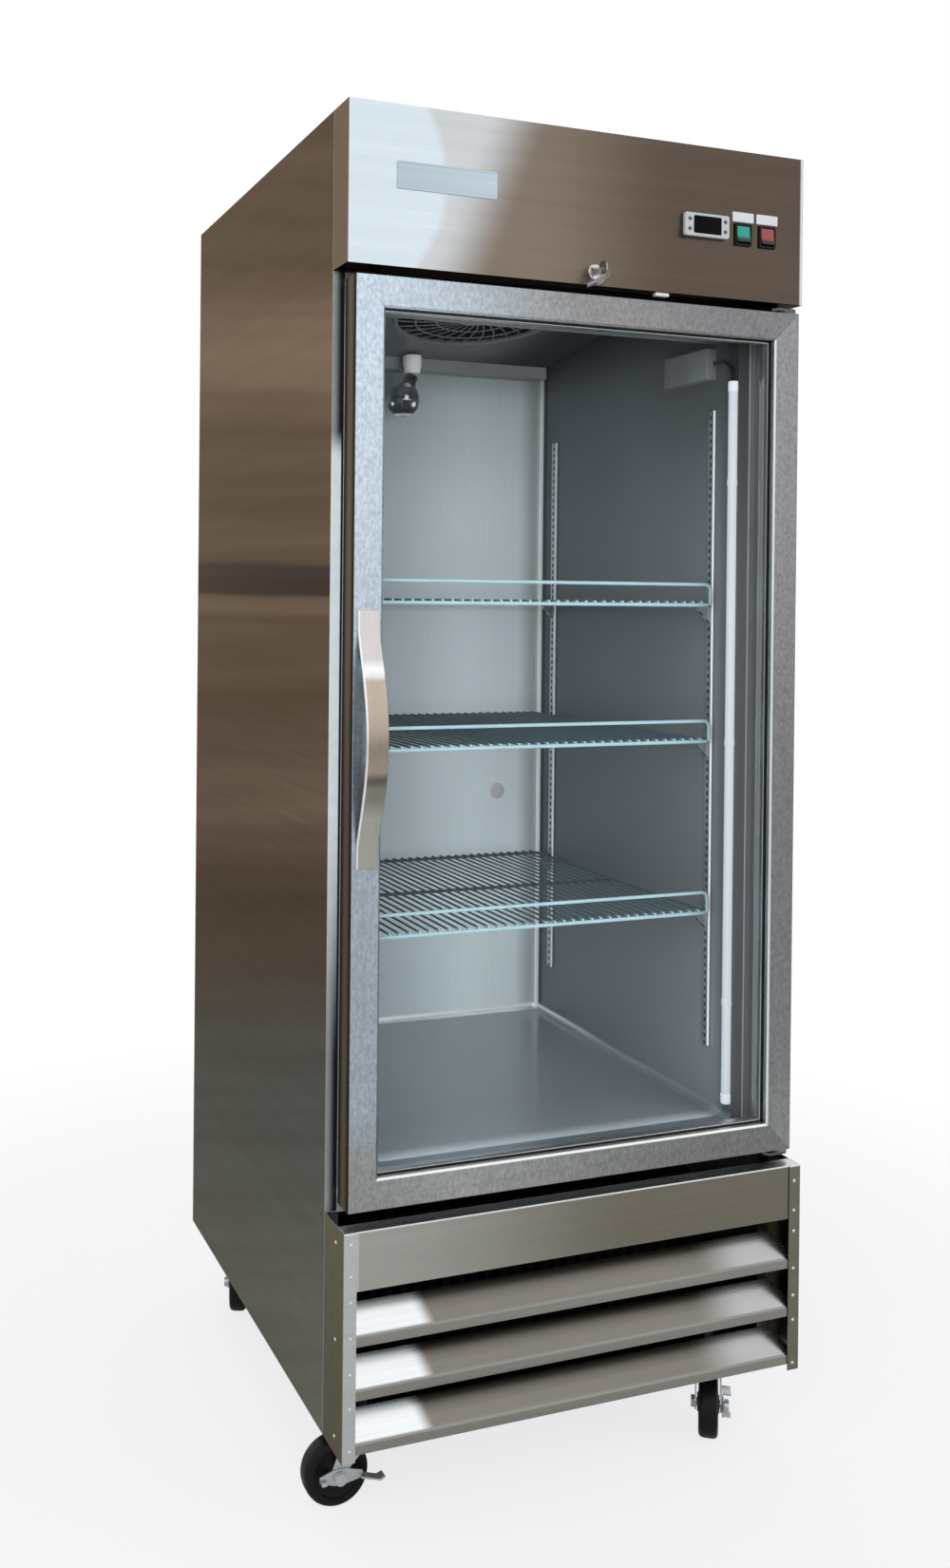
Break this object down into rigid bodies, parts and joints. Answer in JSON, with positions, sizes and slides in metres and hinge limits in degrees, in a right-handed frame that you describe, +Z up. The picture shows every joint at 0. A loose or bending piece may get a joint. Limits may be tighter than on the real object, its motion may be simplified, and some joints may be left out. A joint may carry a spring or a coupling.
{
  "type": "reach-in refrigerator",
  "caption": "Upright stainless reach-in refrigerator with a hinged glass door, wire shelves, a control header, a louvered base and swivel casters.",
  "frame": {"origin": "on the floor, at the middle of the part's bounding box", "axes": "+Z up, -Y out of the door, +X to the right of someone facing the door"},
  "size_m": [0.7868, 0.8482, 2.01],
  "materials": {
    "stainless": "satin",
    "liner_steel": "satin",
    "galvanised": "satin",
    "zinc": "satin",
    "chrome": "polished",
    "aluminium": "satin",
    "foam": "matte",
    "black_paint": "satin",
    "black_plastic": "matte",
    "white_plastic": "satin",
    "grey_plastic": "satin",
    "green_plastic": "gloss",
    "red_plastic": "gloss",
    "coated_wire": "satin",
    "rubber": "matte",
    "gasket_rubber": "matte",
    "glass": "polished"
  },
  "bodies": {
    "cabinet": {"base_plate": "galvanised", "compressor": "black_paint", "condenser_coil": "black_paint", "condenser_motor": "black_paint", "evaporator_coil": "aluminium", "evaporator_cover": "grey_plastic", "evaporator_fan_guard": "black_paint", "foam_insulation": "foam", "grille_left_bracket": "stainless", "grille_louver_1": "stainless", "grille_louver_2": "stainless", "grille_louver_3": "stainless", "grille_right_bracket": "stainless", "grille_top_band": "stainless", "header_panel": "stainless", "inner_liner": "liner_steel", "lamp_bulb": "glass", "lampholder": "white_plastic", "led_driver": "black_plastic", "led_lamp": "white_plastic", "left_front_standard": "galvanised", "left_rear_standard": "galvanised", "left_side_panel": "stainless", "light_switch_frame": "black_plastic", "lock_barrel": "chrome", "lower_hinge_bracket": "zinc", "power_switch_frame": "black_plastic", "rear_panel": "galvanised", "right_front_standard": "galvanised", "right_rear_standard": "galvanised", "right_side_panel": "stainless", "temperature_controller": "grey_plastic", "top_panel": "stainless", "upper_hinge_bracket": "zinc"},
    "door": {"door_left_stile": "stainless", "door_right_stile": "stainless", "door_top_rail": "stainless", "door_bottom_rail": "stainless", "outer_pane": "glass", "inner_pane": "glass", "door_gasket": "gasket_rubber", "door_handle": "stainless"},
    "lock_plug": {"lock_key": "chrome"},
    "light_rocker_body": {"light_rocker": "green_plastic"},
    "power_rocker_body": {"power_rocker": "red_plastic"},
    "evaporator_fan_body": {"evaporator_fan": "black_plastic"},
    "condenser_fan_body": {"condenser_fan": "black_plastic"},
    "shelf_1_body": {"shelf_1": "coated_wire"},
    "shelf_2_body": {"shelf_2": "coated_wire"},
    "shelf_3_body": {"shelf_3": "coated_wire"},
    "front_left_swivel_body": {"front_left_fork": "zinc"},
    "front_left_wheel_body": {"front_left_wheel": "rubber"},
    "front_left_brake_body": {"front_left_brake": "zinc"},
    "front_right_swivel_body": {"front_right_fork": "zinc"},
    "front_right_wheel_body": {"front_right_wheel": "rubber"},
    "front_right_brake_body": {"front_right_brake": "zinc"},
    "rear_left_swivel_body": {"rear_left_fork": "zinc"},
    "rear_left_wheel_body": {"rear_left_wheel": "rubber"},
    "rear_right_swivel_body": {"rear_right_fork": "zinc"},
    "rear_right_wheel_body": {"rear_right_wheel": "rubber"}
  },
  "joints": [
    {"name": "door_hinge", "type": "hinge", "parent": "cabinet", "child": "door", "pos_m": [0.3495, -0.36085, 1.1185], "axis": [0, 0, 1], "range_deg": [0, 110]},
    {"name": "lock_turn", "type": "hinge", "parent": "cabinet", "child": "lock_plug", "pos_m": [0.01, -0.37385, 1.803], "axis": [0, 1, 0], "range_deg": [0, 90]},
    {"name": "light_rock", "type": "hinge", "parent": "cabinet", "child": "light_rocker_body", "pos_m": [0.2678, -0.37235, 1.8825], "axis": [1, 0, 0], "range_deg": [0, 16]},
    {"name": "power_rock", "type": "hinge", "parent": "cabinet", "child": "power_rocker_body", "pos_m": [0.3118, -0.37235, 1.8825], "axis": [1, 0, 0], "range_deg": [0, 16]},
    {"name": "evaporator_fan_spin", "type": "hinge", "parent": "cabinet", "child": "evaporator_fan_body", "pos_m": [0.02, 0.04415, 1.816], "axis": [0, 0.1386, 0.9903], "continuous": true},
    {"name": "condenser_fan_spin", "type": "hinge", "parent": "cabinet", "child": "condenser_fan_body", "pos_m": [-0.01, -0.13585, 0.26885], "axis": [0, 1, 0], "continuous": true},
    {"name": "shelf_1_lift", "type": "slide", "parent": "cabinet", "child": "shelf_1_body", "axis": [0, 0, 1], "range_m": [0, 0.03]},
    {"name": "shelf_2_lift", "type": "slide", "parent": "cabinet", "child": "shelf_2_body", "axis": [0, 0, 1], "range_m": [0, 0.03]},
    {"name": "shelf_3_lift", "type": "slide", "parent": "cabinet", "child": "shelf_3_body", "axis": [0, 0, 1], "range_m": [0, 0.03]},
    {"name": "front_left_swivel", "type": "hinge", "parent": "cabinet", "child": "front_left_swivel_body", "pos_m": [-0.3, -0.27085, 0.13], "axis": [0, 0, 1], "continuous": true},
    {"name": "front_left_roll", "type": "hinge", "parent": "front_left_swivel_body", "child": "front_left_wheel_body", "pos_m": [-0.344, -0.27085, 0.04938], "axis": [0, 1, 0], "continuous": true},
    {"name": "front_left_brake_rock", "type": "hinge", "parent": "front_left_swivel_body", "child": "front_left_brake_body", "pos_m": [-0.344, -0.27085, 0.04938], "axis": [0, 1, 0], "range_deg": [0, 12]},
    {"name": "front_right_swivel", "type": "hinge", "parent": "cabinet", "child": "front_right_swivel_body", "pos_m": [0.3, -0.27085, 0.13], "axis": [0, 0, 1], "continuous": true},
    {"name": "front_right_roll", "type": "hinge", "parent": "front_right_swivel_body", "child": "front_right_wheel_body", "pos_m": [0.27514, -0.30716, 0.04938], "axis": [-0.8251, 0.565, 0], "continuous": true},
    {"name": "front_right_brake_rock", "type": "hinge", "parent": "front_right_swivel_body", "child": "front_right_brake_body", "pos_m": [0.27514, -0.30716, 0.04938], "axis": [-0.8251, 0.565, 0], "range_deg": [0, 12]},
    {"name": "rear_left_swivel", "type": "hinge", "parent": "cabinet", "child": "rear_left_swivel_body", "pos_m": [-0.3, 0.36415, 0.13], "axis": [0, 0, 1], "continuous": true},
    {"name": "rear_left_roll", "type": "hinge", "parent": "rear_left_swivel_body", "child": "rear_left_wheel_body", "pos_m": [-0.31548, 0.32296, 0.04938], "axis": [-0.9361, 0.3518, 0], "continuous": true},
    {"name": "rear_right_swivel", "type": "hinge", "parent": "cabinet", "child": "rear_right_swivel_body", "pos_m": [0.3, 0.36415, 0.13], "axis": [0, 0, 1], "continuous": true},
    {"name": "rear_right_roll", "type": "hinge", "parent": "rear_right_swivel_body", "child": "rear_right_wheel_body", "pos_m": [0.344, 0.36415, 0.04938], "axis": [0, -1, 0], "continuous": true}
  ]
}
